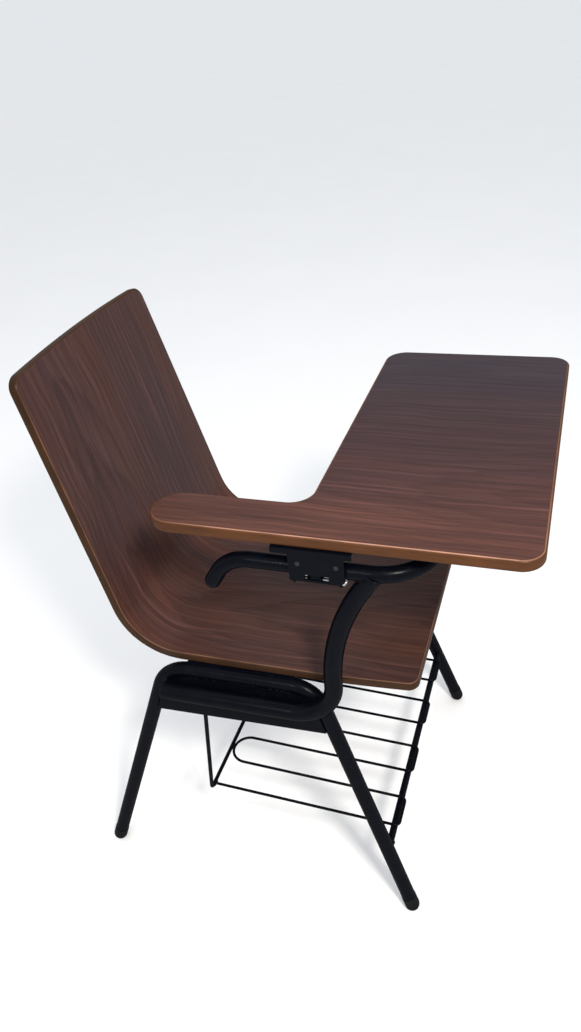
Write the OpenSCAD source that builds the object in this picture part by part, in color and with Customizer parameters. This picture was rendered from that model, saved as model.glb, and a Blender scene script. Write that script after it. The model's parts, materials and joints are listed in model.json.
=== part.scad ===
// Student desk chair: a one-piece moulded plywood shell on a bent steel tube
// frame, with a folding tablet on the sitter's right and a wire book basket.
// Z is up, the chair faces -Y, and the tablet stands on the -X side.

/* [Shell] */
// Thickness of the moulded plywood
shell_t = 14; // [12:0.5:16]
// Width of the seat at its front edge
seat_w = 378; // [360:1:390]
// Width of the seat beside the rails
seat_mid_w = 390; // [380:0.5:396]
// Width across the bend between seat and back
hip_w = 388.5; // [370:0.5:395]
// Width of the back at its top
back_top_w = 354.5; // [330:0.5:370]
// Height of the seat's top face at its front edge
seat_h = 460; // [450:1:475]
// Rise of the seat towards its front, in degrees
seat_rise = 1.1; // [0.8:0.1:1.6]
// Seat length from its front edge to the corner of seat and back
seat_l = 419; // [400:1:430]
// Recline of the back from upright, in degrees
recline = 12.5; // [10:0.5:15]
// Inside radius of the bend
bend_r = 78; // [60:1:90]
// Height of the top of the back above the floor
back_h = 881.5; // [850:0.5:900]

/* [Tablet] */
// Thickness of the tablet board
board_t = 16; // [14:0.5:18]
// Height of the tablet's writing surface
tablet_h = 720; // [700:1:735]
// Width of the writing surface, sideways
tablet_w = 543; // [520:1:560]
// Depth of the writing surface, front to back
writing_d = 289; // [270:1:300]
// Width of the arm rest
arm_w = 72; // [64:1:76]
// Length of the board, arm rest included
tablet_l = 488; // [470:1:500]

/* [Frame] */
// Outside diameter of the leg tubes
leg_d = 22.2; // [20:0.1:24]
// Outside diameter of the arm post
post_d = 25.4; // [22:0.1:27]
// Outside diameter of the arm tube and the cross tubes
arm_d = 21.3; // [18:0.1:21.4]
// Wall of every tube
wall = 1.2; // [1:0.1:1.5]
// Distance from the centre line to each seat rail
rail_x = 197; // [185:1:205]
// Splay of the side frames, in degrees
splay = 4.8; // [3:0.1:6]
// Front foot, measured forwards from the middle of the base
front_foot_y = -196.5; // [-215:0.5:-180]
// Rear foot, measured backwards from the middle of the base
rear_foot_y = 341.5; // [325:0.5:355]

/* [Basket] */
// Wire of the basket floor
wire_d = 4.6; // [3:0.1:5]
// Rod that carries the front of the basket
front_rod_d = 11; // [8:0.5:13]
// Rod that carries the rear of the basket
hoop_d = 6.4; // [5:0.2:8]
// Spacing of the basket wires
wire_gap = 53.4; // [50:0.1:56]
// Height of the basket floor at its front
basket_h = 138.5; // [130:0.5:150]
// Rise of the basket floor towards its rear, in degrees
basket_rise = 1.65; // [0:0.05:3]

/* [Hidden] */
$fn = 48;

// Seat and back: the inner corner is where the two upper faces would meet
seat_front_y = -200.5;
corner_y = seat_front_y + seat_l * cos(seat_rise);
corner_z = seat_h - seat_l * sin(seat_rise);
bend_turn = 90 - recline + seat_rise;
bend_trim = bend_r * tan(bend_turn / 2);
back_l = (back_h - corner_z) / cos(recline);
hip_z = corner_z + 70;
shell_corner_r = 19;
seat_corner_r = 15;
crown_rise = 6;
crown_r = (back_top_w * back_top_w / 4 + crown_rise * crown_rise) / (2 * crown_rise);

// Height of the seat's underside at a fore-and-aft place
function seat_under(y) =
    seat_h - (y - seat_front_y) * tan(seat_rise) - shell_t / cos(seat_rise);

// Side frames: rails lie under the seat, one bar thickness below it
tab_t = 3.2;
rail_slope = tan(seat_rise);
function rail_z(y) = seat_under(y) - tab_t - leg_d / 2;
rail_front_y = -56;
rail_rear_y = 179.5;
rail_mid_y = (rail_front_y + rail_rear_y) / 2;
rail_h = rail_z(rail_mid_y);
front_bend_r = 48;
rear_bend_r = 60;
glide_r = 11.7;
foot_z = 9;
leg_end_z = 11;
function splay_x(z) = rail_x + (rail_h - z) * tan(splay);
function front_leg_y(z) =
    front_foot_y + (rail_front_y - front_foot_y) * z / rail_z(rail_front_y);
function rear_leg_y(z) =
    rear_foot_y + (rail_rear_y - rear_foot_y) * z / rail_z(rail_rear_y);
function leg_point(y, z) = [splay_x(z), y, z];
leg_path = [
    leg_point(front_leg_y(leg_end_z), leg_end_z),
    leg_point(rail_front_y, rail_z(rail_front_y)),
    leg_point(rail_rear_y, rail_z(rail_rear_y)),
    leg_point(rear_leg_y(leg_end_z), leg_end_z)
];

// Side plates, just inside the outer face of the tubes
plate_t = 3;
plate_in = 7.6;
plate_front_z = 356;
plate_rear_z = 345;

// Arm post: runs under the rail, turns up beside the front leg, then leans
// forwards to the arm tube
post_x = splay_x(400) + (leg_d + post_d) / 2 + 0.1;
post_y = -93.5;
post_rear_y = 174;
post_run_z = rail_h - 24.8;
post_bend_r = 66;
post_lean = 32;
post_lean_r = 330;
post_lean_z = 471 + post_lean_r * tan(post_lean / 2);
arm_z = 669.5;
post_top_z = arm_z;
function post_run(y) = post_run_z - (y - rail_mid_y) * rail_slope;
post_path = [
    [post_x, post_rear_y, post_run(post_rear_y)],
    [post_x, post_y, post_run(post_y)],
    [post_x, post_y, post_lean_z],
    [post_x, post_y - (post_top_z - post_lean_z) * tan(post_lean), post_top_z]
];

// Arm tube: turned down behind, turned inwards under the writing surface
arm_droop = 58;
arm_rear_y = 31;
arm_rear_l = 49;
arm_front_y = -225;
arm_inner_x = 20;
arm_path = [
    [post_x, arm_rear_y + arm_rear_l * cos(arm_droop), arm_z - arm_rear_l * sin(arm_droop)],
    [post_x, arm_rear_y, arm_z],
    [post_x, arm_front_y, arm_z],
    [arm_inner_x, arm_front_y, arm_z]
];
arm_bends = [55, 70];

// Tablet board, in the chair's own frame (right side at +x before mirroring)
tablet_out = 234;
tablet_front_y = -350.5;
writing_rear_y = tablet_front_y + writing_d;
tablet_in = tablet_out - tablet_w;
board_under = tablet_h - board_t;
front_r = 28;
far_rear_r = 33;
notch_r = 30;

// Hinge: the leaf hangs outside the arm tube and turns on the bolt below it
pivot_x = post_x;
pivot_z = 651.5;
pivot_r = 3;
run_clear = 0.05;
barrel_r = 5;
leaf_t = 3;
leaf_in = post_x + arm_d / 2 + 1;
leaf_out = leaf_in + leaf_t;
leaf_rear_y = -56;
leaf_front_y = -126;
leaf_low_z = 657;
leaf_corner = 5.5;
ear_front_y = -118.5;
riser_h = 8;
riser_t = 2.5;
riser_rear_y = -34.5;
riser_front_y = -135.5;
riser_in = post_x - 36;
flange_z = board_under - riser_h - leaf_t;
stop_gap = 0.3;
ear_r = 6.9;
barrel_rear_y = -74.5;
barrel_front_y = -94.5;
window_rear_y = -75.5;
window_front_y = -106;
window_low_z = 660;
window_high_z = 668;
rivet_ys = [-68, -116];
rivet_z = 683.2;
screw_xs = [post_x - 8, post_x - 26];
screw_ys = [-45, -121];
bumper_xs = [60, 110];
bumper_r = 10;

// Basket: the wires run over the front rod and end against the rear rod
basket_half = wire_gap * 3.5;
touch = 0.03;
front_rod_y = -157.7;
wire_front_y = front_rod_y - (front_rod_d + wire_d) / 2 - 0.5;
hoop_y = 149.3;
wire_rear_y = hoop_y - (hoop_d + wire_d) / 2 - touch;
wire_run = (wire_rear_y - wire_front_y) / cos(basket_rise);
function wire_z(y) = basket_h + (y - wire_front_y) * tan(basket_rise);
front_rod_z = wire_z(front_rod_y) - (front_rod_d + wire_d) / 2 - touch;
hoop_z = wire_z(hoop_y);

// The base of the bounding box is centred on the origin
x_mid = (tablet_in + splay_x(foot_z) + glide_r) / -2;
y_mid = (tablet_front_y + rear_leg_y(foot_z) + glide_r) / 2;

function unit(v) = v / norm(v);
function turn(a, b) = acos(unit(a) * unit(b));

// Moves children so that their Z axis lies along ez and their X axis along ex
module place(o, ex, ez) {
    ey = cross(ez, ex);
    multmatrix([
        [ex.x, ey.x, ez.x, o.x],
        [ex.y, ey.y, ez.y, o.y],
        [ex.z, ey.z, ez.z, o.z],
        [0, 0, 0, 1]
    ]) children();
}

// Section of a tube, or of a solid rod where the wall is 0
module section(d, w) {
    difference() {
        circle(d = d);
        if (w > 0) circle(d = d - 2 * w);
    }
}

// Lengths and angles are kept to a thousandth, so that joints meet cleanly
function tidy(v) = round(v * 1000) / 1000;

// Band over the joint of a run and a bend, a hair proud of the tube
module joint_band(d, w, band) {
    translate([0, 0, -0.2]) linear_extrude(0.4)
        section(d + 2 * band, w > 0 ? w + 2 * band : 0);
}

// One straight run of a tube along +Z, then its bend and all that follows
module runs(lengths, turns, rolls, radii, d, w, band, i = 0) {
    gap = band > 0 ? 0.05 : 0;
    start = i > 0 ? gap : 0;
    end = lengths[i] - (i < len(turns) ? gap : 0);
    if (end > start) translate([0, 0, start]) linear_extrude(end - start) section(d, w);
    if (i < len(turns))
        translate([0, 0, lengths[i]]) rotate([0, 0, rolls[i]]) {
            if (band > 0) joint_band(d, w, band);
            translate([radii[i], 0, 0]) {
                rotate([90, 0, 180]) rotate_extrude(angle = turns[i])
                    translate([radii[i], 0]) section(d, w);
                rotate([0, turns[i], 0]) translate([-radii[i], 0, 0]) {
                    if (band > 0) joint_band(d, w, band);
                    runs(lengths, turns, rolls, radii, d, w, band, i + 1);
                }
            }
        }
}

// A tube or rod through corner points, with a bend radius at each inner one
module bent(points, radii, d, w = 0, band = 0.02) {
    last = len(points) - 1;
    dirs = [for (i = [0 : last - 1]) unit(points[i + 1] - points[i])];
    turns = [for (i = [1 : last - 1]) tidy(turn(dirs[i - 1], dirs[i]))];
    trims = [0, for (i = [0 : last - 2]) radii[i] * tan(turns[i] / 2), 0];
    lengths = [for (i = [0 : last - 1])
        tidy(norm(points[i + 1] - points[i]) - trims[i] - trims[i + 1])];
    sides = [for (i = [1 : last - 1]) unit(cross(dirs[i - 1], dirs[i]))];
    rolls = [for (i = [0 : last - 2]) i == 0 ? 0 :
        tidy(atan2(cross(sides[i - 1], sides[i]) * dirs[i], sides[i - 1] * sides[i]))];
    place(points[0], cross(sides[0], dirs[0]), dirs[0])
        runs(lengths, turns, rolls, radii, d, w, band);
}

// Chair frame to part frame; right_side also turns +x work to the right side
module placed() {
    translate([-x_mid, -y_mid, 0]) children();
}
module right_side() {
    placed() mirror([1, 0, 0]) children();
}

// Frame of the seat's underside: Z is its normal, the origin at its front edge
module under_seat() {
    translate([0, seat_front_y, seat_under(seat_front_y)])
        rotate([-seat_rise, 0, 0]) children();
}

// Material outside a rounded corner at the origin that points along +x +y
module corner_waste(r) {
    translate([-r, -r]) difference() {
        square(r + 1);
        circle(r);
    }
}

// Points on an arc, every two degrees or so
function arc(c, r, from, to) =
    let (n = ceil(abs(to - from) / 2))
    [for (i = [0 : n]) let (a = from + (to - from) * i / n) c + r * [cos(a), sin(a)]];

// Side view of the shell, extruded sideways over the given width
module shell_strip(width) {
    run = seat_l - bend_trim;
    centre = [run, bend_r];
    top = centre + bend_r * [sin(bend_turn), -cos(bend_turn)]
        + (back_l - bend_trim) * [cos(bend_turn), sin(bend_turn)];
    translate([-width / 2, seat_front_y, seat_h]) rotate([-seat_rise, 0, 0])
        rotate([90, 0, 90]) linear_extrude(width) polygon([
            [0, -shell_t],
            each arc(centre, bend_r + shell_t, -90, bend_turn - 90),
            top + shell_t * [sin(bend_turn), -cos(bend_turn)],
            top,
            each arc(centre, bend_r, bend_turn - 90, -90),
            [0, 0]
        ]);
}

// Front view of the back: tapered, with rounded top corners and a crowned top
module back_outline() {
    top = back_h;
    slope = (hip_w - back_top_w) / 2 / (top - hip_z);
    difference() {
        intersection() {
            polygon([
                [-hip_w / 2, hip_z], [hip_w / 2, hip_z],
                [back_top_w / 2, top], [-back_top_w / 2, top]
            ]);
            translate([0, top - crown_r]) circle(crown_r, $fn = 360);
        }
        for (s = [-1, 1])
            translate([s * (back_top_w / 2 + 1.5), top - crown_rise + 2])
                mirror([s < 0 ? 1 : 0, 0]) rotate(-atan(slope) / 2)
                    corner_waste(shell_corner_r);
    }
}

// Half the seat's width at a distance behind its front edge
function seat_half(u) =
    seat_w / 2 + (seat_mid_w - seat_w) / 2 * sin(90 * min(1, u / 150));

// Plan view of the seat: widens behind its front edge, with rounded corners
module seat_outline() {
    rear = corner_y + 60;
    difference() {
        polygon([
            for (i = [10 : -1 : 0]) [-seat_half(15 * i), seat_front_y + 15 * i],
            for (i = [0 : 10]) [seat_half(15 * i), seat_front_y + 15 * i],
            [seat_mid_w / 2, seat_front_y + 300], [hip_w / 2, corner_y - 20],
            [hip_w / 2, rear], [-hip_w / 2, rear],
            [-hip_w / 2, corner_y - 20], [-seat_mid_w / 2, seat_front_y + 300]
        ]);
        for (s = [-1, 1])
            translate([s * seat_w / 2, seat_front_y])
                mirror([s < 0 ? 1 : 0, 0]) rotate(-90) corner_waste(seat_corner_r);
    }
}

screw_us = [194, 322];
screw_half_x = 160;
insert_r = 4.5;
insert_l = 10;
insert_bore_r = 3;

module each_seat_screw() {
    for (s = [0, 1], u = screw_us)
        mirror([s, 0, 0]) under_seat() translate([screw_half_x, u, 0]) children();
}

module seat_shell() {
    color("saddlebrown") placed() difference() {
        intersection() {
            shell_strip(hip_w + 20);
            union() {
                translate([0, corner_y + 200, 0]) rotate([90, 0, 0])
                    linear_extrude(400) back_outline();
                translate([0, 0, seat_h - 60])
                    linear_extrude(hip_z - seat_h + 60) seat_outline();
            }
        }
        each_seat_screw() translate([0, 0, -1])
            cylinder(r = insert_r, h = insert_l + 1);
    }
}

module seat_inserts() {
    color("goldenrod") placed() each_seat_screw() difference() {
        cylinder(r = insert_r, h = insert_l);
        translate([0, 0, -1]) cylinder(r = insert_bore_r, h = insert_l + 2);
    }
}

module seat_screws() {
    color("silver") placed() each_seat_screw() {
        translate([0, 0, -tab_t - 4]) cylinder(r = 5.5, h = 4);
        translate([0, 0, -tab_t]) cylinder(r = insert_bore_r, h = tab_t + 8);
    }
}

// Bar along the top of each rail; it reaches inwards to the seat's screws
module seat_bars() {
    front = screw_us[0] - 20;
    length = screw_us[1] - screw_us[0] + 40;
    inner = screw_half_x - 10;
    color("dimgray") placed() difference() {
        for (s = [0, 1]) mirror([s, 0, 0]) under_seat()
            translate([inner, front, -tab_t]) cube([rail_x + 0.5 - inner, length, tab_t]);
        each_seat_screw() translate([0, 0, -tab_t - 1]) cylinder(r = 3.2, h = tab_t + 2);
    }
}

module leg_frame(w) {
    bent(leg_path, [front_bend_r, rear_bend_r], leg_d, w);
}

module left_leg_frame() {
    color("black") placed() leg_frame(wall);
}

module right_leg_frame() {
    color("black") right_side() leg_frame(wall);
}

// Plate between the legs, from the rail down to a straight lower edge
module side_plate() {
    up = [-sin(splay), 0, cos(splay)];
    out = [cos(splay), 0, sin(splay)];
    edge = sqrt(leg_d * leg_d / 4 - plate_in * plate_in) + 0.01;
    function flat(p) = [p.y, (p.z - rail_h) / cos(splay)];
    path = [for (p = leg_path) flat(p)];
    fu = unit(path[1] - path[0]);
    ru = unit(path[2] - path[3]);
    tu = unit(path[2] - path[1]);
    function right(v) = [v.y, -v.x];
    function left(v) = [-v.y, v.x];
    fc = path[1] - fu * front_bend_r * tan(turn(fu, tu) / 2) + right(fu) * front_bend_r;
    rc = path[2] - ru * rear_bend_r * tan(turn(-tu, ru) / 2) + left(ru) * rear_bend_r;
    function azimuth(v) = atan2(v.y, v.x);
    function down(p, u, z) = p + u * ((z - rail_h) / cos(splay) - p.y) / u.y;
    multmatrix([
        [0, up.x, out.x, rail_x + plate_in * out.x],
        [1, up.y, out.y, 0],
        [0, up.z, out.z, rail_h + plate_in * out.z],
        [0, 0, 0, 1]
    ]) linear_extrude(plate_t) polygon([
        down(path[0] + right(fu) * edge, fu, plate_front_z),
        each arc(fc, front_bend_r - edge, azimuth(left(fu)), azimuth(left(tu))),
        each arc(rc, rear_bend_r - edge, azimuth(left(tu)), azimuth(right(ru))),
        down(path[3] + left(ru) * edge, ru, plate_rear_z)
    ]);
}

module left_side_plate() {
    color("black") placed() side_plate();
}

module right_side_plate() {
    color("black") right_side() side_plate();
}

// Tube between the two rails
module cross_tube(y) {
    reach = rail_x - leg_d / 2;
    translate([-reach, y, rail_z(y)]) rotate([0, 90, 0])
        linear_extrude(2 * reach) section(arm_d, wall);
}

front_cross_y = 30;
rear_cross_y = 88;

module front_cross_tube() {
    color("black") placed() cross_tube(front_cross_y);
}

module rear_cross_tube() {
    color("black") placed() cross_tube(rear_cross_y);
}

// Plastic cap on a leg end, cut flat where it meets the floor
module glide(foot, knee) {
    axis = unit(knee - foot);
    tip = foot + axis * (foot_z - foot.z) / axis.z;
    difference() {
        place(tip, unit(cross([1, 0, 0], axis)), axis) {
            sphere(glide_r);
            cylinder(r = glide_r, h = 18);
        }
        translate([tip.x - 30, tip.y - 30, -20]) cube([60, 60, 20]);
        place(foot, unit(cross([1, 0, 0], axis)), axis)
            cylinder(r = leg_d / 2, h = 40);
    }
}

module front_glide() {
    glide(leg_path[0], leg_path[1]);
}

module rear_glide() {
    glide(leg_path[3], leg_path[2]);
}

module right_front_glide() {
    color("dimgray") right_side() front_glide();
}

module right_rear_glide() {
    color("dimgray") right_side() rear_glide();
}

module left_front_glide() {
    color("dimgray") placed() front_glide();
}

module left_rear_glide() {
    color("dimgray") placed() rear_glide();
}

module arm_post() {
    color("black") right_side() difference() {
        bent(post_path, [post_bend_r, post_lean_r], post_d, wall);
        bent(arm_path, arm_bends, arm_d);
    }
}

module post_plug() {
    color("dimgray") right_side()
        translate([post_x, post_rear_y, post_run(post_rear_y)])
            rotate([-90 - seat_rise, 0, 0]) {
                cylinder(d = post_d, h = 2.5);
                translate([0, 0, -10]) cylinder(d = post_d - 2 * wall, h = 10);
            }
}

module arm_tube() {
    color("black") right_side() bent(arm_path, arm_bends, arm_d, wall);
}

// Domed plug in a tube end at the origin that faces +Z
module dome_plug() {
    translate([0, 0, -12]) cylinder(d = arm_d - 2 * wall, h = 12);
    intersection() {
        sphere(d = arm_d);
        translate([0, 0, arm_d / 2]) cube(arm_d, center = true);
    }
}

module arm_tube_plugs() {
    color("dimgray") right_side() {
        translate(arm_path[0]) rotate([-90 - arm_droop, 0, 0]) dome_plug();
        translate(arm_path[3]) rotate([0, -90, 0]) dome_plug();
    }
}

// Rubber posts on the arm tube that carry the front of the writing surface
module rest_bumpers() {
    color("darkslategray") right_side() difference() {
        for (x = bumper_xs)
            translate([x, arm_front_y, arm_z])
                cylinder(r = bumper_r, h = board_under - stop_gap - arm_z);
        translate([0, arm_front_y, arm_z]) rotate([0, 90, 0])
            cylinder(d = arm_d, h = 300);
    }
}

// Serpentine floor wire: tight turns before the front rod, round ones behind
module basket_wire() {
    points = [
        [-basket_half, wire_run, 0],
        for (i = [0 : 3]) let (x = -basket_half + 2 * i * wire_gap) each [
            [x, 0, 0],
            [x + wire_gap, 0, 0],
            if (i < 3) [x + wire_gap, wire_run, 0],
            if (i < 3) [x + 2 * wire_gap, wire_run, 0]
        ],
        [basket_half, wire_run, 0]
    ];
    front_r = 8;
    radii = [for (i = [1 : len(points) - 2]) points[i].y == 0 ? front_r : wire_gap / 2];
    color("black") placed() translate([0, wire_front_y, basket_h])
        rotate([basket_rise, 0, 0]) bent(points, radii, wire_d, 0, 0);
}

// Front rod: straight, with its ends shaped to the front legs
module basket_front_rod() {
    reach = splay_x(front_rod_z);
    axis = unit(leg_path[1] - leg_path[0]);
    color("black") placed() difference() {
        translate([-reach, front_rod_y, front_rod_z]) rotate([0, 90, 0])
            cylinder(d = front_rod_d, h = 2 * reach);
        for (s = [0, 1]) mirror([s, 0, 0])
            place(leg_point(front_leg_y(40), 40), unit(cross([1, 0, 0], axis)), axis)
                cylinder(d = leg_d + 2 * touch, h = 200);
    }
}

// Rear rod: both ends run up to the side plates
module basket_rear_hoop() {
    top_z = 376;
    low_x = basket_half + 11;
    top = [splay_x(top_z) + plate_in - hoop_d / 2 - 0.2, 121, top_z];
    low = [low_x, hoop_y, hoop_z];
    function left(p) = [-p.x, p.y, p.z];
    color("black") placed() bent([left(top), left(low), low, top], [10, 10], hoop_d);
}

// Fixed barrel under the arm tube, with the web that joins it to the tube
module hinge_barrel() {
    color("black") right_side() difference() {
        union() {
            translate([pivot_x, barrel_rear_y, pivot_z]) rotate([90, 0, 0])
                cylinder(r = barrel_r, h = barrel_rear_y - barrel_front_y);
            translate([post_x - 3, barrel_front_y + 3, pivot_z])
                cube([6, barrel_rear_y - barrel_front_y - 6, arm_z - pivot_z]);
        }
        translate([pivot_x, 0, pivot_z]) rotate([90, 0, 0])
            cylinder(r = pivot_r + run_clear, h = 200);
        translate([post_x, 0, arm_z]) rotate([90, 0, 0])
            cylinder(d = arm_d, h = 200);
    }
}

// Ear on the leaf: a round end about the bolt, with an arm that rises to the plate
module leaf_ear(y) {
    reach = leaf_in + leaf_t / 2;
    translate([0, y, 0]) rotate([90, 0, 0]) linear_extrude(leaf_t) {
        translate([pivot_x, pivot_z]) circle(ear_r);
        polygon([
            [pivot_x, pivot_z - ear_r], [reach, leaf_low_z],
            [reach, leaf_low_z + 4], [pivot_x, pivot_z + 6]
        ]);
    }
}

// Side view of the leaf's plate, with its front low corner cut off to clear the post
module leaf_outline(top) {
    polygon([
        [leaf_rear_y, top], [leaf_front_y, top],
        [leaf_front_y, leaf_low_z + leaf_corner], [leaf_front_y + leaf_corner, leaf_low_z],
        [leaf_rear_y, leaf_low_z]
    ]);
}

// Moving leaf: plate outside the tube, flange over it and an ear at each end
module hinge_leaf() {
    length = leaf_rear_y - leaf_front_y;
    flange_w = leaf_out - riser_in;
    color("black") right_side() difference() {
        union() {
            translate([leaf_in, 0, 0]) rotate([90, 0, 90]) linear_extrude(leaf_t)
                leaf_outline(flange_z + leaf_t);
            translate([riser_in, leaf_front_y, flange_z]) cube([flange_w, length, leaf_t]);
            leaf_ear(leaf_rear_y);
            leaf_ear(ear_front_y + leaf_t);
        }
        translate([leaf_in - 1, window_front_y, window_low_z])
            cube([leaf_t + 2, window_rear_y - window_front_y, window_high_z - window_low_z]);
        translate([pivot_x, 0, pivot_z]) rotate([90, 0, 0])
            cylinder(r = pivot_r + 0.02, h = 200);
        for (y = rivet_ys)
            translate([leaf_in - 1, y, rivet_z]) rotate([0, 90, 0])
                cylinder(r = 2, h = leaf_t + 2);
    }
}

module pivot_bolt() {
    color("silver") right_side() translate([pivot_x, 0, pivot_z]) rotate([90, 0, 0]) {
        translate([0, 0, -leaf_rear_y - 4]) cylinder(r = 5, h = 4);
        translate([0, 0, -leaf_rear_y])
            cylinder(r = pivot_r, h = leaf_rear_y - ear_front_y + 5.6);
    }
}

module pivot_nut() {
    color("silver") right_side()
        translate([pivot_x, ear_front_y, pivot_z]) rotate([90, 0, 0]) difference() {
            cylinder(r = 5.2, h = 4, $fn = 6);
            translate([0, 0, -1]) cylinder(r = pivot_r + 0.02, h = 6);
        }
}

// Nylon block riveted inside the leaf; it rests on the arm tube
module stop_block() {
    low = arm_z + arm_d / 2 + stop_gap;
    color("ivory") right_side() difference() {
        translate([post_x - 8, -121, low])
            cube([leaf_in - post_x + 8, 60, flange_z - low]);
        for (y = rivet_ys)
            translate([leaf_in - 9, y, rivet_z]) rotate([0, 90, 0])
                cylinder(r = 2, h = 10);
    }
}

module hinge_rivets() {
    color("silver") right_side() for (y = rivet_ys)
        translate([leaf_in - 8, y, rivet_z]) rotate([0, 90, 0]) {
            cylinder(r = 1.98, h = 8 + leaf_t);
            translate([0, 0, 8 + leaf_t]) cylinder(r = 3.4, h = 1.2);
        }
}

// Channel that carries the board above the leaf
module tablet_riser() {
    width = leaf_out - riser_in;
    length = riser_rear_y - riser_front_y;
    color("black") right_side() difference() {
        translate([riser_in, riser_front_y, board_under - riser_h])
            cube([width, length, riser_h]);
        translate([riser_in + riser_t, riser_front_y - 1, board_under - riser_h - 1])
            cube([width - 2 * riser_t, length + 2, riser_h - riser_t + 1]);
        each_tablet_screw() translate([0, 0, -riser_h])
            cylinder(r = 2.2, h = riser_h + 1);
    }
}

module each_tablet_screw() {
    for (x = screw_xs, y = screw_ys)
        translate([x, y, board_under]) children();
}

module tablet_screws() {
    color("silver") right_side() each_tablet_screw() {
        translate([0, 0, -riser_t - 2.4]) cylinder(r = 4, h = 2.4);
        translate([0, 0, -riser_t]) cylinder(r = 2, h = riser_t + 12);
    }
}

// Plan of the board: writing surface, arm rest with a round end, inner fillet
module tablet_plan() {
    tip_y = tablet_front_y + tablet_l - arm_w / 2;
    difference() {
        union() {
            translate([tablet_in, tablet_front_y]) square([tablet_w, writing_d]);
            translate([tablet_out - arm_w, tablet_front_y])
                square([arm_w, tip_y - tablet_front_y]);
            translate([tablet_out - arm_w / 2, tip_y]) circle(arm_w / 2, $fn = 96);
            translate([tablet_out - arm_w - notch_r, writing_rear_y]) difference() {
                square(notch_r);
                translate([0, notch_r]) circle(notch_r);
            }
        }
        translate([tablet_out, tablet_front_y]) rotate(-90) corner_waste(front_r);
        translate([tablet_in, tablet_front_y]) rotate(180) corner_waste(front_r);
        translate([tablet_in, writing_rear_y]) rotate(90) corner_waste(far_rear_r);
    }
}

module tablet_board() {
    color("sienna") right_side() difference() {
        translate([0, 0, board_under]) linear_extrude(board_t) tablet_plan();
        each_tablet_screw() translate([0, 0, -1]) cylinder(r = 2.05, h = 13.1);
    }
}

seat_shell();
seat_inserts();
seat_screws();
seat_bars();
right_leg_frame();
left_leg_frame();
right_side_plate();
left_side_plate();
front_cross_tube();
rear_cross_tube();
right_front_glide();
right_rear_glide();
left_front_glide();
left_rear_glide();
arm_post();
post_plug();
arm_tube();
arm_tube_plugs();
rest_bumpers();
basket_wire();
basket_front_rod();
basket_rear_hoop();
hinge_barrel();
hinge_leaf();
pivot_bolt();
pivot_nut();
stop_block();
hinge_rivets();
tablet_riser();
tablet_screws();
tablet_board();
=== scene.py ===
import json
import math

import bpy
import numpy as np
from mathutils import Matrix, Vector
from mathutils.geometry import tessellate_polygon


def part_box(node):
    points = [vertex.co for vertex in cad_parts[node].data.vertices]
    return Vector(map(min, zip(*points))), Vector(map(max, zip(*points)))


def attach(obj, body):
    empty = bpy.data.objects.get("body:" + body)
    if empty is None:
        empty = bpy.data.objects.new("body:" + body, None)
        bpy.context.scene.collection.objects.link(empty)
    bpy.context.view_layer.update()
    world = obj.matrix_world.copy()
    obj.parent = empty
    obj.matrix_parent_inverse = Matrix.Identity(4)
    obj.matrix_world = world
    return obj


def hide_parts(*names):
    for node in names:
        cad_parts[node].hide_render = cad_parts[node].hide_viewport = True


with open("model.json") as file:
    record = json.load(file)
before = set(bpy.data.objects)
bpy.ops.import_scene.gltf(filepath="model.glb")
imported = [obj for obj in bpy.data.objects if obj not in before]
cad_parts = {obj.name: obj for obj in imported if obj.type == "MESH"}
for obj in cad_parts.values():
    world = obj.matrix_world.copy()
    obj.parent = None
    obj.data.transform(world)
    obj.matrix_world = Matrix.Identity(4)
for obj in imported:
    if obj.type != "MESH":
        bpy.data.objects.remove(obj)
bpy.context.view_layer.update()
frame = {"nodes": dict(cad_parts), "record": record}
nodes = frame["nodes"]


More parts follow.
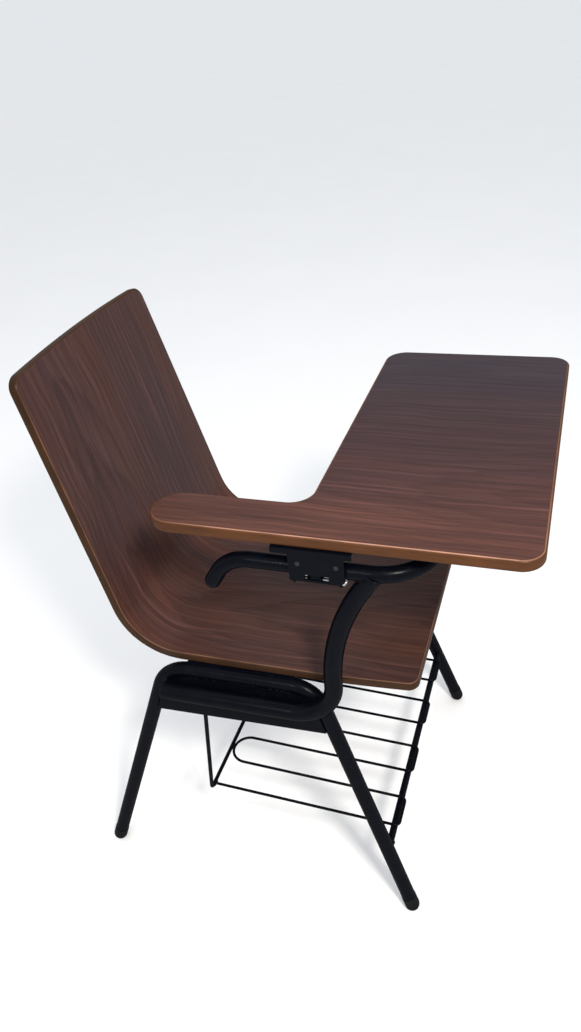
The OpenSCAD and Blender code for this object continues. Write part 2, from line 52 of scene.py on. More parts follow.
# ---------------------------------------------------------------- materials
class Graph:
    """A short way to write one material's nodes."""

    def __init__(self, name):
        self.mat = bpy.data.materials.new(name)
        self.mat.use_nodes = True
        self.tree = self.mat.node_tree
        self.tree.nodes.clear()
        self.out = self.add("ShaderNodeOutputMaterial")
        self.shader = self.add("ShaderNodeBsdfPrincipled")
        self.link(self.shader.outputs[0], self.out.inputs["Surface"])

    def add(self, kind, **settings):
        node = self.tree.nodes.new(kind)
        for key, value in settings.items():
            setattr(node, key, value)
        return node

    def link(self, a, b):
        self.tree.links.new(a, b)

    def put(self, socket, value):
        if isinstance(value, bpy.types.NodeSocket):
            self.link(value, socket)
        else:
            socket.default_value = value

    def set(self, **values):
        for key, value in values.items():
            self.put(self.shader.inputs[key.replace("_", " ")], value)

    def math(self, op, a, b=0.0):
        node = self.add("ShaderNodeMath", operation=op)
        self.put(node.inputs[0], a)
        self.put(node.inputs[1], b)
        return node.outputs[0]

    def mapping(self, source, scale, offset=(0, 0, 0)):
        node = self.add("ShaderNodeMapping")
        self.link(source, node.inputs["Vector"])
        node.inputs["Scale"].default_value = scale
        node.inputs["Location"].default_value = offset
        return node.outputs[0]

    def noise(self, source, scale=1.0, detail=3.0, rough=0.5, distortion=0.0):
        node = self.add("ShaderNodeTexNoise")
        self.link(source, node.inputs["Vector"])
        node.inputs["Scale"].default_value = scale
        node.inputs["Detail"].default_value = detail
        node.inputs["Roughness"].default_value = rough
        node.inputs["Distortion"].default_value = distortion
        return node.outputs[0]

    def ramp(self, value, stops):
        """Colour ramp, straight between stops, which are (position, colour) pairs."""
        node = self.add("ShaderNodeValToRGB")
        node.color_ramp.interpolation = "LINEAR"
        while len(node.color_ramp.elements) < len(stops):
            node.color_ramp.elements.new(0.5)
        for element, (at, colour) in zip(node.color_ramp.elements, stops):
            element.position = at
            element.color = (*colour, 1) if len(colour) == 3 else colour
        self.link(value, node.inputs[0])
        return node.outputs[0]

    def fit(self, value, low, high, to_low, to_high):
        node = self.add("ShaderNodeMapRange")
        self.put(node.inputs["Value"], value)
        limits = {"From Min": low, "From Max": high, "To Min": to_low, "To Max": to_high}
        for key, v in limits.items():
            node.inputs[key].default_value = v
        return node.outputs[0]

    def mix(self, factor, a, b, blend="MIX"):
        node = self.add("ShaderNodeMix", data_type="RGBA", blend_type=blend)
        self.put(node.inputs["Factor"], factor)
        self.put(node.inputs[6], a if isinstance(a, bpy.types.NodeSocket) else (*a, 1))
        self.put(node.inputs[7], b if isinstance(b, bpy.types.NodeSocket) else (*b, 1))
        return node.outputs[2]

    def gloss(self, colour, rough, amount):
        """Colour under a thin clear coat, which keeps the rims of round parts dark."""
        self.set(Base_Color=colour, Roughness=rough, Specular_IOR_Level=0.0,
                 Coat_Weight=amount, Coat_Roughness=rough)

    def bump(self, height, strength, distance):
        node = self.add("ShaderNodeBump")
        node.inputs["Strength"].default_value = strength
        node.inputs["Distance"].default_value = distance
        self.link(height, node.inputs["Height"])
        self.link(node.outputs[0], self.shader.inputs["Normal"])
        self.link(node.outputs[0], self.shader.inputs["Coat Normal"])


SWAY = 0.032  # how far the fibres wander sideways, in metres
LOOP = 2.5  # more than the length of either rim, in metres
# pale colour of the painted highlight along the top arris of the edges
ARRIS_HIGHLIGHT_COLOUR = (0.44, 0.235, 0.165)
FIGURE_TINT = (0.48, 0.46, 0.50)  # what rings, streaks and pores multiply the colour by
GLINT_GAIN = 1.9


def laminate(name, centre, seed, light, dark, red, figure, painted_light_tones=()):
    """Walnut laminate. The grain runs along V, and arches about the line U = centre. Each tone
    in painted_light_tones is (0 for U or 1 for V, start, end, ramp stops), and multiplies the
    colour along that line: painted light and shade, not the laminate's own colour."""
    g = Graph(name)
    uv = g.add("ShaderNodeUVMap", uv_map="UVMap").outputs[0]
    # the fibres wander a little as they run
    sway = g.noise(g.mapping(uv, (2.5, 4.5, 1), (seed * 1.3, seed, 0)), 1.0, 2.0, 0.5)
    offset = g.add("ShaderNodeCombineXYZ")
    g.link(g.math("MULTIPLY", g.math("SUBTRACT", sway, 0.5), SWAY), offset.inputs[0])
    bent = g.add("ShaderNodeVectorMath", operation="ADD")
    g.link(uv, bent.inputs[0])
    g.link(offset.outputs[0], bent.inputs[1])
    shifted = g.mapping(bent.outputs[0], (1, 1, 1), (seed, seed * 0.7, 0))
    # growth rings: arches near the centre line, straight and close beside it
    drift = g.noise(g.mapping(shifted, (5, 1.3, 1)), 1.0, 2.0, 0.5)
    wobble = g.noise(g.mapping(shifted, (22, 3.0, 1)), 1.0, 3.0, 0.55)
    split = g.add("ShaderNodeSeparateXYZ")
    g.link(uv, split.inputs[0])
    across = g.math("ADD", g.math("SUBTRACT", split.outputs[0], centre),
                    g.math("MULTIPLY", g.math("SUBTRACT", drift, 0.5), 0.16))
    rings = g.math("ADD", g.math("MULTIPLY", g.math("MULTIPLY", across, across), 420.0),
                   g.math("MULTIPLY", split.outputs[1], 7.0))
    rings = g.math("ADD", rings, g.math("MULTIPLY", wobble, 2.2))
    saw = g.math("FRACT", rings)
    ring_dark = g.math("MULTIPLY", g.math("POWER", saw, 2.2), g.fit(saw, 0.90, 1.0, 1.0, 0.0))
    # broad tone bands along the grain, and warmer patches
    bands = g.noise(g.mapping(shifted, (34, 1.1, 1)), 1.0, 4.0, 0.6)
    patch = g.noise(g.mapping(shifted, (13, 1.2, 1)), 1.0, 2.0, 0.5)
    # fine streaks and short pores
    streak = g.noise(g.mapping(shifted, (210, 4, 1)), 1.0, 4.0, 0.65)
    pores = g.noise(g.mapping(shifted, (900, 38, 1)), 1.0, 2.0, 0.6)
    pore = g.fit(pores, 0.56, 0.70, 0.0, 1.0)
    colour = g.mix(g.fit(bands, 0.3, 0.7, 0.0, 1.0), dark, light)
    colour = g.mix(g.fit(patch, 0.38, 0.70, 0.0, 0.85), colour, red)
    deep = g.mix(1.0, colour, FIGURE_TINT, "MULTIPLY")
    colour = g.mix(g.math("MULTIPLY", ring_dark, figure), colour, deep)
    colour = g.mix(g.fit(streak, 0.38, 0.68, 0.0, 0.70), colour, deep)
    colour = g.mix(g.math("MULTIPLY", pore, 0.45), colour, deep)
    glint = g.noise(g.mapping(shifted, (130, 2.2, 1), (3, 5, 0)), 1.0, 3.0, 0.6)
    pale = tuple(c * GLINT_GAIN for c in light)
    colour = g.mix(g.fit(glint, 0.54, 0.74, 0.0, 0.42), colour, pale)
    # painted light and shade: each tone multiplies the colour by a ramp along its axis
    for axis, start, end, stops in painted_light_tones:
        tone = g.ramp(g.fit(split.outputs[axis], start, end, 0.0, 1.0), stops)
        colour = g.mix(1.0, colour, tone, "MULTIPLY")
    g.set(Base_Color=colour, Roughness=g.fit(streak, 0.3, 0.7, 0.36, 0.48), Specular_IOR_Level=0.09)
    height = g.math("SUBTRACT", g.math("MULTIPLY", streak, 0.4), g.math("MULTIPLY", pore, 0.8))
    g.bump(height, 0.10, 0.0004)
    return g.mat


def lacquered_edge(name, light, dark, arris):
    """Clear-lacquered edge: U runs round the rim and V across the thickness, from the top arris.
    arris is a list of (metres round the rim, strength of the painted highlight along the arris)."""
    g = Graph(name)
    uv = g.add("ShaderNodeUVMap", uv_map="UVMap").outputs[0]
    split = g.add("ShaderNodeSeparateXYZ")
    g.link(uv, split.inputs[0])
    along = g.noise(g.mapping(uv, (14, 60, 1)), 1.0, 3.0, 0.6)
    plies = g.noise(g.mapping(uv, (3, 900, 1)), 1.0, 2.0, 0.5)
    fibres = g.noise(g.mapping(uv, (60, 1500, 1)), 1.0, 3.0, 0.6)
    colour = g.mix(g.fit(along, 0.3, 0.7, 0.0, 1.0), dark, light)
    colour = g.mix(g.fit(plies, 0.4, 0.65, 0.0, 0.35), colour, dark)
    colour = g.mix(g.fit(fibres, 0.45, 0.7, 0.0, 0.3), colour, (0.018, 0.008, 0.004))
    # painted highlight: a thin pale line along the top arris, under the face
    line = g.ramp(g.math("MULTIPLY", split.outputs[1], 100.0),
                  [(0.03, (0, 0, 0)), (0.08, (1, 1, 1)), (0.15, (1, 1, 1)), (0.27, (0, 0, 0))])
    highlight_strength = g.ramp(g.fit(split.outputs[0], 0.0, LOOP, 0.0, 1.0),
                  [(at / LOOP, (k, k, k)) for at, k in arris])
    painted_highlight = g.math("MULTIPLY", g.math("MULTIPLY", line, highlight_strength), g.fit(along, 0.35, 0.6, 0.55, 1.0))
    colour = g.mix(painted_highlight, colour, ARRIS_HIGHLIGHT_COLOUR)
    g.gloss(colour, g.fit(along, 0.3, 0.7, 0.28, 0.40), 0.22)
    g.bump(fibres, 0.12, 0.0003)
    return g.mat


def enamel(name, colour=(0.0017, 0.0021, 0.0040), rough=0.24):
    """Gloss enamel on steel, with a faint orange peel and dust."""
    g = Graph(name)
    place = g.add("ShaderNodeTexCoord").outputs["Object"]
    peel = g.noise(place, 420.0, 2.0, 0.5)
    dust = g.noise(place, 38.0, 5.0, 0.65)
    specks = g.noise(place, 1500.0, 2.0, 0.5)
    tone = g.mix(g.fit(dust, 0.5, 0.8, 0.0, 0.5), colour, tuple(c * 2.6 for c in colour))
    tone = g.mix(g.fit(specks, 0.68, 0.78, 0.0, 0.06), tone, (0.08, 0.08, 0.09))
    g.gloss(tone, g.fit(dust, 0.3, 0.75, rough - 0.05, rough + 0.12), 0.10)
    g.bump(peel, 0.10, 0.0006)
    return g.mat


def plastic(name, colour, rough=0.5, bump=0.12):
    """Moulded plastic or rubber, with a fine grain and light scuffs."""
    g = Graph(name)
    place = g.add("ShaderNodeTexCoord").outputs["Object"]
    grain = g.noise(place, 900.0, 3.0, 0.6)
    scuff = g.noise(place, 55.0, 5.0, 0.7)
    tone = g.mix(g.fit(scuff, 0.5, 0.75, 0.0, 0.5), colour, tuple(c * 1.9 + 0.004 for c in colour))
    g.gloss(tone, g.fit(scuff, 0.3, 0.7, rough, rough + 0.16), 0.14)
    g.bump(grain, bump, 0.0004)
    return g.mat


def metal(name, colour, rough=0.28):
    """Brushed metal, a little tarnished."""
    g = Graph(name)
    place = g.add("ShaderNodeTexCoord").outputs["Object"]
    brushed = g.noise(g.mapping(place, (90, 900, 900)), 1.0, 3.0, 0.6)
    tarnish = g.noise(place, 160.0, 4.0, 0.6)
    tone = g.mix(g.fit(tarnish, 0.45, 0.75, 0.0, 0.6), colour, tuple(c * 0.6 for c in colour))
    g.set(Base_Color=tone, Metallic=1.0,
          Roughness=g.fit(brushed, 0.3, 0.7, rough - 0.06, rough + 0.12))
    g.bump(brushed, 0.08, 0.0003)
    return g.mat


# the shell's tone is painted light and shade: dim and cool over the seat, full near the bend,
# darker and bluish up the back as a painted reflection
SHELL_FACE = laminate("shell_laminate", -0.085, 3.1, (0.080, 0.034, 0.027), (0.049, 0.0245, 0.0225),
                      (0.086, 0.032, 0.020), 0.72,
                      [(1, 0.0, 0.60, [(0.0, (0.82, 0.87, 0.88)), (0.50, (0.83, 0.87, 0.89)),
                                       (0.72, (1.0, 0.98, 0.96)), (0.97, (0.75, 0.86, 1.02))])])
# the board's tones are painted light and shade: bright and warm at the near (-X) side, darker and
# bluish towards +X as a painted reflection, and painted shade darker towards +Y
BOARD_FACE = laminate("board_laminate", -0.12, 9.4, (0.088, 0.038, 0.032), (0.054, 0.027, 0.026),
                      (0.088, 0.036, 0.025), 0.50,
                      [(0, -0.28, 0.28, [(0.0, (1.16, 1.02, 0.82)), (0.45, (0.51, 0.52, 0.69)),
                                         (1.0, (0.34, 0.47, 0.77))]),
                       (1, -0.10, 0.02, [(0.0, (1.0, 1.0, 1.0)), (1.0, (0.80, 0.79, 0.80))])])
# each edge's last list sets the strength of its painted arris highlight round the rim
SHELL_EDGE = lacquered_edge("shell_edge", (0.046, 0.018, 0.006), (0.020, 0.009, 0.004),
                            [(0.0, 0.30), (0.36, 0.12), (0.5, 0.03),
                             (1.5, 0.03), (1.62, 0.20), (2.42, 0.26)])
BOARD_EDGE = lacquered_edge("board_edge", (0.088, 0.033, 0.011), (0.052, 0.019, 0.007),
                            [(0.0, 0.55), (0.12, 0.22), (0.5, 0.10),
                             (1.5, 0.08), (1.58, 0.55), (1.75, 0.85)])
BLACK = enamel("black_enamel")
BLACK_PLATE = enamel("black_enamel_plate", rough=0.34)
# paler, glossier enamel on the rivet heads: a painted highlight that shows them as small pale dots
RIVET_HIGHLIGHT = enamel("rivet_painted_highlight", (0.020, 0.020, 0.023), 0.22)
CAP = plastic("black_plastic_cap", (0.004, 0.004, 0.005), 0.42)
RUBBER = plastic("black_rubber", (0.010, 0.010, 0.010), 0.68, 0.3)
NYLON = plastic("black_nylon", (0.012, 0.012, 0.013), 0.40)
ZINC = metal("zinc", (0.62, 0.62, 0.60))
BRASS = metal("brass", (0.62, 0.44, 0.17))

FINISH = {
    "walnut_ply": SHELL_FACE, "walnut_board": BOARD_FACE, "black_steel": BLACK,
    "black_plastic": CAP, "rubber": RUBBER, "nylon": NYLON, "zinc": ZINC, "brass": BRASS,
}
for part in frame["record"]["subparts"]:
    data = nodes[part["node"]].data
    data.materials.clear()
    data.materials.append(FINISH[part["material_slot"]])
for name in ("right_side_plate", "left_side_plate", "hinge_leaf", "tablet_riser"):
    nodes[name].data.materials.clear()
    nodes[name].data.materials.append(BLACK_PLATE)


# ---------------------------------------------------------------- mesh helpers
def make_object(name, verts, faces, uvs, mats, slots, body, replaces=()):
    """A mesh piece with one UV pair per face corner and one material slot per face."""
    mesh = bpy.data.meshes.new(name)
    mesh.from_pydata([tuple(v) for v in verts], [], faces)
    layer = mesh.uv_layers.new(name="UVMap")
    for polygon, corner_uvs in zip(mesh.polygons, uvs):
        for loop, uv in zip(polygon.loop_indices, corner_uvs):
            layer.data[loop].uv = uv
    for m in mats:
        mesh.materials.append(m)
    for polygon, s in zip(mesh.polygons, slots):
        polygon.material_index = s
        polygon.use_smooth = True
    mesh.validate()
    piece = bpy.data.objects.new(name, mesh)
    bpy.context.scene.collection.objects.link(piece)
    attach(piece, body)
    if replaces:
        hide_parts(*replaces)
    return piece


def outward_normals(loop):
    """Normals of a closed anticlockwise outline, one per point."""
    loop = np.asarray(loop, float)
    ahead = np.roll(loop, -1, 0) - loop
    ahead /= np.linalg.norm(ahead, axis=1)[:, None]
    normal = np.stack([ahead[:, 1], -ahead[:, 0]], 1)
    both = normal + np.roll(normal, 1, 0)
    return both / np.linalg.norm(both, axis=1)[:, None]


def rim_profile(thickness, radius, steps=6):
    """(outward, upward) offsets across a rounded edge, from the top face to the bottom one."""
    quarter = [math.radians(90 * k / steps) for k in range(steps + 1)]
    top = [(radius * math.sin(a), thickness / 2 - radius * (1 - math.cos(a))) for a in quarter]
    return top + [(d, -t) for d, t in reversed(top)]


def slab(name, grid_points, grid_faces, loop, thickness, radius, place, mats, body, replaces):
    """A sheet with rounded edges. grid_points are (u, v) on the flat pattern, inset by the edge
    radius, loop is its boundary, and place(u, v, t) puts a point of the pattern in the part."""
    flat = np.array(grid_points, float)
    loop = list(loop)
    normals = outward_normals(flat[loop])
    verts = [place(u, v, thickness / 2) for u, v in flat]
    low_start = len(verts)
    verts += [place(u, v, -thickness / 2) for u, v in flat]
    faces, uvs, slots = [], [], []
    for f in grid_faces:
        faces.append(list(f))
        uvs.append([tuple(flat[i]) for i in f])
        slots.append(0)
        low = list(reversed(f))
        faces.append([low_start + i for i in low])
        uvs.append([tuple(flat[i]) for i in low])
        slots.append(0)
    profile = rim_profile(thickness, radius)
    rings = [loop]
    for d, t in profile[1:-1]:
        ring = []
        for i, n in zip(loop, normals):
            ring.append(len(verts))
            verts.append(place(flat[i][0] + n[0] * d, flat[i][1] + n[1] * d, t))
        rings.append(ring)
    rings.append([low_start + i for i in loop])
    count = len(loop)
    steps = [np.linalg.norm(flat[loop[(i + 1) % count]] - flat[loop[i]]) for i in range(count)]
    run = np.concatenate([[0], np.cumsum(steps)])
    drops = [math.dist(a, b) for a, b in zip(profile, profile[1:])]
    depth = np.concatenate([[0], np.cumsum(drops)])
    for k in range(len(rings) - 1):
        for i in range(count):
            j = (i + 1) % count
            faces.append([rings[k][i], rings[k + 1][i], rings[k + 1][j], rings[k][j]])
            uvs.append([(run[i], depth[k]), (run[i], depth[k + 1]),
                        (run[i + 1], depth[k + 1]), (run[i + 1], depth[k])])
            slots.append(1)
    return make_object(name, verts, faces, uvs, mats, slots, body, replaces)


# ---------------------------------------------------------------- moulded shell
SHELL_LOW, SHELL_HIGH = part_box("seat_shell")
SHELL_T, RISE, RECLINE = 0.014, math.radians(1.1), math.radians(12.5)
SEAT_L, BEND_R = 0.419, 0.078
TURN = math.pi / 2 - RECLINE + RISE
TRIM = BEND_R * math.tan(TURN / 2)
RUN = SEAT_L - TRIM
MID_R = BEND_R + SHELL_T / 2
SEAT_H = 0.460
CENTRE_X = (SHELL_LOW.x + SHELL_HIGH.x) / 2
FRONT_Y = SHELL_LOW.y
CORNER_Z = SEAT_H - SEAT_L * math.sin(RISE)
BACK_H = 0.8815
BACK_L = (BACK_H - CORNER_Z) / math.cos(RECLINE) - TRIM
BEND_L = MID_R * TURN
SHELL_L = RUN + BEND_L + BACK_L
HIP_S = RUN + BEND_L
HALF_FRONT, HALF_MID, HALF_HIP, HALF_TOP = 0.189, 0.195, 0.19425, 0.17725
MID_S, WAIST_S, WAIST_RUN = 0.15, 0.25, 0.15
EDGE = 0.0028
TOP_CORNER_R, FRONT_CORNER_R = 0.019, 0.015
CROWN, CROWN_RUN = 0.006, 0.12  # drop of the top edge's ends, and how far down it fades
SHELL_ROWS, SHELL_COLUMNS = 110, 32
FRONT_CORNER_ROWS, TOP_CORNER_ROWS = 8, 9
STEP, BLEND = 0.001, 0.030  # sampling of the side view, and length over which the bend eases in


def shell_centreline():
    """Side view of the sheet's middle, one row per step: along the seat, above it, its angle."""
    s = np.arange(0, SHELL_L + 2 * STEP, STEP) + STEP / 2
    curl = np.where((s > RUN) & (s < HIP_S), 1 / MID_R, 0.0)
    width = round(BLEND / STEP)
    curl = np.convolve(curl, np.ones(width) / width, "same")
    curl *= TURN / (curl.sum() * STEP)
    angle = np.concatenate([[0], np.cumsum(curl) * STEP])
    half_way = (angle[:-1] + angle[1:]) / 2
    u = np.concatenate([[0], np.cumsum(np.cos(half_way)) * STEP])
    v = np.concatenate([[0], np.cumsum(np.sin(half_way)) * STEP]) - SHELL_T / 2
    return np.stack([u, v, angle], 1)


LINE = shell_centreline()


def shell_place(x, s, t):
    """Bends a point of the flat pattern, t above the sheet's middle, into the shell's shape."""
    k = min(max(s / STEP, 0.0), len(LINE) - 1.001)
    i = int(k)
    u, v, angle = LINE[i] + (LINE[i + 1] - LINE[i]) * (k - i)
    u, v = u - math.sin(angle) * t, v + math.cos(angle) * t
    return (CENTRE_X + x, FRONT_Y + u * math.cos(RISE) + v * math.sin(RISE),
            SEAT_H - u * math.sin(RISE) + v * math.cos(RISE))


def shell_half_width(s):
    """Half the sheet's width at a distance s from the front edge."""
    if s < MID_S:
        return HALF_FRONT + (HALF_MID - HALF_FRONT) * math.sin(math.pi / 2 * s / MID_S)
    if s < HIP_S:
        return HALF_MID + (HALF_HIP - HALF_MID) * min(1.0, max(0.0, (s - WAIST_S) / WAIST_RUN))
    return HALF_HIP + (HALF_TOP - HALF_HIP) * (s - HIP_S) / BACK_L


def build_shell():
    """The pattern's V is the distance along the sheet, from the front edge over the bend."""
    top_r, front_r = TOP_CORNER_R - EDGE, FRONT_CORNER_R - EDGE
    start, end = EDGE, SHELL_L - EDGE
    rows = []
    for k in range(FRONT_CORNER_ROWS):
        a = math.radians(90 * (1 - k / FRONT_CORNER_ROWS))
        rows.append((start + front_r * (1 - math.sin(a)), front_r * (1 - math.cos(a))))
    inner_start, inner_end = start + front_r, end - top_r
    for k in range(SHELL_ROWS + 1):
        rows.append((inner_start + (inner_end - inner_start) * k / SHELL_ROWS, 0.0))
    for k in range(1, TOP_CORNER_ROWS + 1):
        a = math.radians(90 * k / TOP_CORNER_ROWS)
        rows.append((inner_end + top_r * math.sin(a), top_r * (1 - math.cos(a))))
    columns = SHELL_COLUMNS
    points, faces = [], []
    for s, inset in rows:
        half = shell_half_width(s) - EDGE - inset
        for c in range(columns + 1):
            x = half * (2 * c / columns - 1)
            fade = max(0.0, (s - (SHELL_L - CROWN_RUN)) / CROWN_RUN)
            bend_down = CROWN * (x / HALF_TOP) ** 2 * fade
            points.append((x, s - bend_down))
    wide = columns + 1
    for r in range(len(rows) - 1):
        for c in range(columns):
            i = r * wide + c
            faces.append((i, i + 1, i + 1 + wide, i + wide))
    last = len(rows) - 1
    loop = list(range(wide))
    loop += [r * wide + columns for r in range(1, last)]
    loop += [last * wide + c for c in range(columns, -1, -1)]
    loop += [r * wide for r in range(last - 1, 0, -1)]
    return slab("moulded_shell", points, faces, loop, SHELL_T, EDGE, shell_place,
                [SHELL_FACE, SHELL_EDGE], "frame", ["seat_shell"])


shell = build_shell()


# ---------------------------------------------------------------- tablet board
BOARD_LOW, BOARD_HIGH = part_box("tablet_board")
BOARD_T, BOARD_EDGE_R = BOARD_HIGH.z - BOARD_LOW.z, 0.0036
BOARD_Z = (BOARD_LOW.z + BOARD_HIGH.z) / 2
WRITING_D, ARM_W = 0.289, 0.072
BOARD_FRONT_R, BOARD_REAR_R, NOTCH_R = 0.028, 0.033, 0.030


def board_outline(inset):
    """Anticlockwise outline of the board, drawn in by the inset."""
    points = []

    def arc(cx, cy, r, a0, a1, n):
        for k in range(n + 1):
            a = math.radians(a0 + (a1 - a0) * k / n)
            points.append((cx + r * math.cos(a), cy + r * math.sin(a)))

    def line(a, b, step=0.02):
        n = max(2, round(math.dist(a, b) / step))
        for k in range(1, n):
            points.append((a[0] + (b[0] - a[0]) * k / n, a[1] + (b[1] - a[1]) * k / n))

    x0, x1, y0, y2 = BOARD_LOW.x, BOARD_HIGH.x, BOARD_LOW.y, BOARD_HIGH.y
    y1 = y0 + WRITING_D
    xa = x0 + ARM_W
    front, rear, notch = BOARD_FRONT_R, BOARD_REAR_R, NOTCH_R
    i = inset
    arc(x0 + front, y0 + front, front - i, 180, 270, 14)
    line((x0 + front, y0 + i), (x1 - front, y0 + i))
    arc(x1 - front, y0 + front, front - i, 270, 360, 14)
    line((x1 - i, y0 + front), (x1 - i, y1 - rear))
    arc(x1 - rear, y1 - rear, rear - i, 0, 90, 16)
    line((x1 - rear, y1 - i), (xa + notch, y1 - i))
    arc(xa + notch, y1 + notch, notch + i, 270, 180, 16)
    line((xa - i, y1 + notch), (xa - i, y2 - ARM_W / 2))
    arc(x0 + ARM_W / 2, y2 - ARM_W / 2, ARM_W / 2 - i, 0, 180, 36)
    line((x0 + i, y2 - ARM_W / 2), (x0 + i, y0 + front))
    return points


def build_board():
    """The pattern's V runs along Y, as the board's grain does."""
    outline = board_outline(BOARD_EDGE_R)
    flat = [Vector((x, y, 0)) for x, y in outline]
    faces = []
    for f in tessellate_polygon([flat]):
        a, b, c = (flat[i] for i in f)
        faces.append(tuple(f) if (b - a).cross(c - a).z > 0 else tuple(reversed(f)))
    return slab("tablet_board_visual", outline, faces, range(len(outline)), BOARD_T, BOARD_EDGE_R,
                lambda x, y, t: (x, y, BOARD_Z + t), [BOARD_FACE, BOARD_EDGE], "tablet",
                ["tablet_board"])


board = build_board()
for piece in (shell, board):
    modifier = piece.modifiers.new("normals", "WEIGHTED_NORMAL")
    modifier.weight = 100
    modifier.keep_sharp = True


# ---------------------------------------------------------------- hardware and welds
BEAD_SIDES = 10


class Shape:
    """Verts and faces of one small piece, gathered from rings of points."""

    def __init__(self):
        self.verts, self.faces = [], []

    def loft(self, rings, closed=True, caps=True):
        """Joins rings of equal length into a skin; each ring is a list of points."""
        start, n = len(self.verts), len(rings[0])
        for ring in rings:
            self.verts += [tuple(p) for p in ring]
        last = len(rings) if not closed else len(rings) + 1
        for k in range(last - 1):
            a, b = start + k % len(rings) * n, start + (k + 1) % len(rings) * n
            for i in range(n):
                j = (i + 1) % n
                self.faces.append((a + i, a + j, b + j, b + i))
        if caps and not closed:
            self.faces.append(tuple(start + i for i in reversed(range(n))))
            self.faces.append(tuple(start + (len(rings) - 1) * n + i for i in range(n)))

    def lathe(self, at, axis, profile, sides=28, twist=0.0, corners=()):
        """Turned solid: profile is (radius, along) pairs. Rows named in corners are hexagonal."""
        axis = Vector(axis).normalized()
        ex = axis.orthogonal().normalized()
        ey = axis.cross(ex)
        rings = []
        for row, (r, along) in enumerate(profile):
            ring = []
            for i in range(sides):
                a = 2 * math.pi * i / sides + twist
                k = r
                if row in corners:
                    sector = (a - twist) % (math.pi / 3) - math.pi / 6
                    k = r * math.cos(math.pi / 6) / math.cos(sector)
                ring.append(Vector(at) + axis * along + ex * k * math.cos(a) + ey * k * math.sin(a))
            rings.append(ring)
        self.loft(rings, closed=False)

    def bead(self, path, radius, closed=False, seed=0.0):
        """Weld bead: a lumpy round ridge along a path of points."""
        path = [Vector(p) for p in path]
        rings, n = [], len(path)
        for k, p in enumerate(path):
            a = path[(k - 1) % n if closed else max(k - 1, 0)]
            b = path[(k + 1) % n if closed else min(k + 1, n - 1)]
            t = (b - a).normalized()
            upright = abs(t.z) > 0.99
            ex = (t.orthogonal() if upright else t.cross(Vector((0, 0, 1)))).normalized()
            ey = t.cross(ex)
            end = 0.45 if not closed and k in (0, n - 1) else 1.0
            lumps = 0.14 * math.sin(2.1 * k + seed) + 0.07 * math.sin(5.3 * k + 2 * seed)
            r = radius * end * (1 + lumps)
            turns = [2 * math.pi * i / BEAD_SIDES for i in range(BEAD_SIDES)]
            rings.append([p + ex * r * math.cos(a) + ey * r * math.sin(a) for a in turns])
        self.loft(rings, closed=closed)

    def build(self, name, material, body, replaces=(), angle=35):
        mesh = bpy.data.meshes.new(name)
        mesh.from_pydata(self.verts, [], self.faces)
        mesh.materials.append(material)
        for polygon in mesh.polygons:
            polygon.use_smooth = True
        mesh.set_sharp_from_angle(angle=math.radians(angle))
        mesh.validate()
        piece = bpy.data.objects.new(name, mesh)
        bpy.context.scene.collection.objects.link(piece)
        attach(piece, body)
        if replaces:
            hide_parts(*replaces)
        return piece


def islands(name):
    """Boxes of the separate solids of a CAD node, as (low, high) pairs."""
    mesh = nodes[name].data
    parent = list(range(len(mesh.vertices)))

    def root(i):
        while parent[i] != i:
            parent[i] = parent[parent[i]]
            i = parent[i]
        return i

    where = {}
    for v in mesh.vertices:
        key = tuple(round(c * 1e5) for c in v.co)
        if key in where:
            parent[root(v.index)] = root(where[key])
        where[key] = v.index
    for e in mesh.edges:
        parent[root(e.vertices[0])] = root(e.vertices[1])
    groups = {}
    for v in mesh.vertices:
        groups.setdefault(root(v.index), []).append(nodes[name].matrix_world @ v.co)
    boxes = []
    for points in groups.values():
        lows = Vector([min(p[i] for p in points) for i in range(3)])
        highs = Vector([max(p[i] for p in points) for i in range(3)])
        boxes.append((lows, highs))
    return sorted(boxes, key=lambda b: tuple(b[0]))


def middle(box):
    return (box[0] + box[1]) / 2


def screws(cad, name, shank_r, head_r, head_h, body):
    """Pan heads with a hexagon socket, heads down, in place of the plain screws."""
    shape = Shape()
    for box in islands(cad):
        c, foot, top = middle(box), box[0].z, box[1].z
        at = Vector((c.x, c.y, foot))
        shape.lathe(at, (0, 0, 1), [
            (head_r * 0.30, head_h * 0.62), (head_r * 0.46, head_h * 0.60),
            (head_r * 0.50, head_h * 0.04), (head_r * 0.62, 0.0), (head_r * 0.86, head_h * 0.16),
            (head_r, head_h * 0.50), (head_r, head_h),
            (shank_r, head_h), (shank_r, top - foot - 0.001), (shank_r * 0.6, top - foot),
        ], sides=36, corners=(0, 1, 2))
    return shape.build(name, ZINC, body, [cad])


screws("seat_screws", "seat_screws_detailed", 0.0030, 0.0055, 0.0040, "frame")
screws("tablet_screws", "tablet_screws_detailed", 0.0020, 0.0040, 0.0024, "tablet")

RIVET_R = 0.00198
rivets = Shape()
for low, high in islands("hinge_rivets"):
    c, reach = middle((low, high)), high.x - low.x
    rivets.lathe((high.x, c.y, c.z), (-1, 0, 0), [
        (0.0012, 0.0), (RIVET_R, 0.0004), (RIVET_R, reach - 0.0012), (0.0033, reach - 0.0011),
        (0.0030, reach - 0.0006), (0.0018, reach - 0.0001), (0.0005, reach)])
rivets.build("hinge_rivets_domed", RIVET_HIGHLIGHT, "tablet", ["hinge_rivets"])

